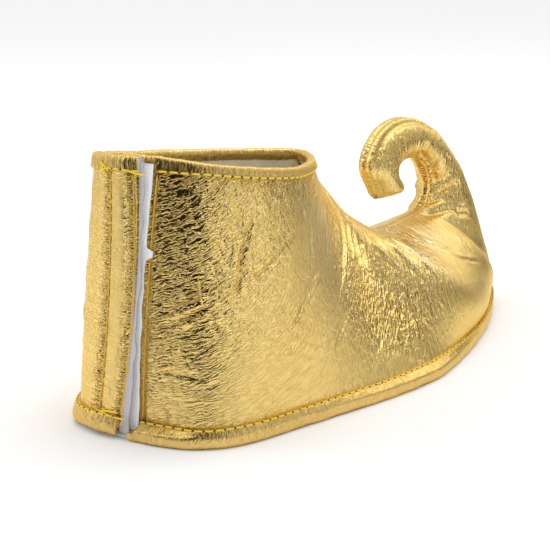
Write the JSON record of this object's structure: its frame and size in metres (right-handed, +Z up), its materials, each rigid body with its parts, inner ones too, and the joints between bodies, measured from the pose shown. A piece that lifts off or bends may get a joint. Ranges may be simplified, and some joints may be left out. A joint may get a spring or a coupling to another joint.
{
  "type": "costume overshoe",
  "caption": "Hollow fabric overshoe with a curled pointed toe, a flat sole, bound collar and sole edges and a lapped hook-and-loop closure down the back.",
  "frame": {"origin": "centre of the part's box in plan, on the floor that the sole stands on", "axes": "+Y from heel to toe, +X to the wearer's right, +Z up"},
  "size_m": [0.12, 0.2818, 0.1077],
  "materials": {
    "gold_foil": "crinkled metallic gold foil on fabric",
    "gold_binding": "folded metallic gold fabric strip",
    "white_tape": "matte white hook-and-loop tape",
    "sole_fabric": "matte pale grey fabric"
  },
  "bodies": {
    "root": {"upper": "gold_foil", "collar_binding": "gold_binding", "sole": "sole_fabric", "sole_binding": "gold_binding", "hook_tape": "white_tape", "loop_tape": "white_tape"}
  },
  "joints": []
}
